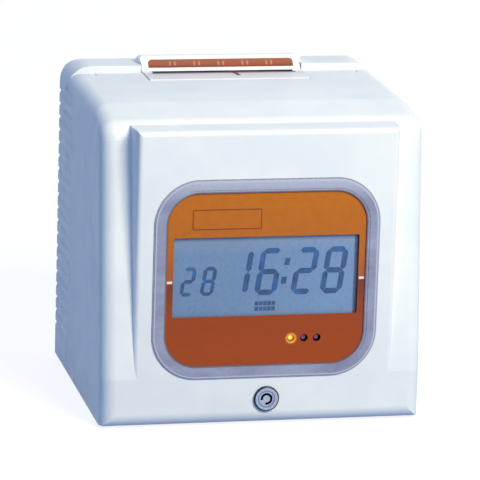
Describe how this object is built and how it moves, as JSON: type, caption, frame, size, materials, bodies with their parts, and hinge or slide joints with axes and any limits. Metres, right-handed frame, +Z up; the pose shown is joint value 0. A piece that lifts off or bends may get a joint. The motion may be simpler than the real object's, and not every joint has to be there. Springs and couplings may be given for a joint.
{
  "type": "time clock",
  "caption": "Punch-card time clock in a white case with a ribbed rear, a lifting front cover with a framed orange window and display, a tubular lock and a card slot in the top.",
  "frame": {"origin": "on the bench, under the middle of the overall box", "axes": "X across the width, +X to the right as seen from the front; the front faces -Y; Z up; metres"},
  "size_m": [0.2, 0.174, 0.2006],
  "materials": {
    "case_plastic": "satin",
    "throat_plastic": "satin",
    "pale_plastic": "satin",
    "black_plastic": "satin",
    "silver_bezel": "satin",
    "orange_label": "satin",
    "red_mark": "satin",
    "clear_lens": "polished",
    "lcd_panel": "gloss",
    "amber_lamp": "gloss",
    "green_board": "satin",
    "plated_steel": "satin",
    "bright_steel": "polished",
    "lock_chrome": "polished",
    "motor_metal": "satin",
    "brass_pins": "polished",
    "battery_wrap": "satin",
    "ink_fabric": "matte",
    "foot_rubber": "matte"
  },
  "bodies": {
    "clock": {"base_plate": "plated_steel", "rubber_feet": "foot_rubber", "rear_case": "case_plastic", "chassis": "plated_steel", "throat": "throat_plastic", "throat_label": "orange_label", "index_mark": "red_mark", "chute_front": "plated_steel", "chute_rear": "plated_steel", "platen": "foot_rubber", "guide_rods": "bright_steel", "carriage_motor": "motor_metal", "lift_motor": "motor_metal", "ribbon_cassette": "black_plastic", "ribbon": "ink_fabric", "display_bracket": "plated_steel", "display_board": "green_board", "lcd_frame": "case_plastic", "lcd_glass": "lcd_panel", "status_lamps": "amber_lamp", "key_switches": "black_plastic", "main_board": "green_board", "board_components": "black_plastic", "transformer": "motor_metal", "backup_battery": "battery_wrap", "buzzer": "black_plastic", "power_inlet": "black_plastic", "inlet_pins": "brass_pins", "hinge_pins": "bright_steel", "catch_tab": "plated_steel", "base_screws": "bright_steel", "board_screws": "bright_steel"},
    "cover": {"front_cover": "case_plastic", "window_bezel": "silver_bezel", "window_label": "orange_label", "window_lens": "clear_lens", "lock_barrel": "lock_chrome", "lock_nut": "bright_steel"},
    "lock": {"lock_core": "lock_chrome", "lock_cam": "plated_steel", "cam_screw": "bright_steel"},
    "carriage": {"print_carriage": "black_plastic", "print_head": "motor_metal"},
    "screw_across": {"carriage_screw": "bright_steel"},
    "stop": {"card_stop": "pale_plastic"},
    "screw_up": {"lift_screw": "bright_steel"},
    "knob": {"ribbon_knob": "pale_plastic"},
    "key_1": {"set_key_1": "pale_plastic"},
    "key_2": {"set_key_2": "pale_plastic"},
    "key_3": {"set_key_3": "pale_plastic"}
  },
  "joints": [
    {"name": "cover_lift", "type": "hinge", "parent": "clock", "child": "cover", "pos_m": [0, 0.0527, 0.188], "axis": [-1, 0, 0], "range_deg": [0, 75]},
    {"name": "lock_turn", "type": "hinge", "parent": "cover", "child": "lock", "pos_m": [0.0024, -0.07, 0.0176], "axis": [0, -1, 0], "range_deg": [0, 90]},
    {"name": "carriage_slide", "type": "slide", "parent": "clock", "child": "carriage", "axis": [1, 0, 0], "range_m": [-0.028, 0.028]},
    {"name": "carriage_screw_spin", "type": "hinge", "parent": "clock", "child": "screw_across", "pos_m": [0, 0.0113, 0.107], "axis": [1, 0, 0], "range_deg": [-721, 721]},
    {"name": "card_stop_lift", "type": "slide", "parent": "clock", "child": "stop", "axis": [0, 0, 1], "range_m": [0, 0.072]},
    {"name": "lift_screw_spin", "type": "hinge", "parent": "clock", "child": "screw_up", "pos_m": [0, 0.0675, 0.1], "axis": [0, 0, 1], "range_deg": [-1, 2161]},
    {"name": "ribbon_knob_turn", "type": "hinge", "parent": "clock", "child": "knob", "pos_m": [0.038, 0.0193, 0.145], "axis": [0, 0, 1], "continuous": true},
    {"name": "set_key_1_press", "type": "slide", "parent": "clock", "child": "key_1", "axis": [0, 1, 0], "range_m": [0, 0.001], "stiffness_N_per_m": 600},
    {"name": "set_key_2_press", "type": "slide", "parent": "clock", "child": "key_2", "axis": [0, 1, 0], "range_m": [0, 0.001], "stiffness_N_per_m": 600},
    {"name": "set_key_3_press", "type": "slide", "parent": "clock", "child": "key_3", "axis": [0, 1, 0], "range_m": [0, 0.001], "stiffness_N_per_m": 600}
  ],
  "couplings": [
    {"joint": "carriage_screw_spin", "follows": "carriage_slide", "rad_per_m": 448.8},
    {"joint": "lift_screw_spin", "follows": "card_stop_lift", "rad_per_m": 523.6}
  ]
}
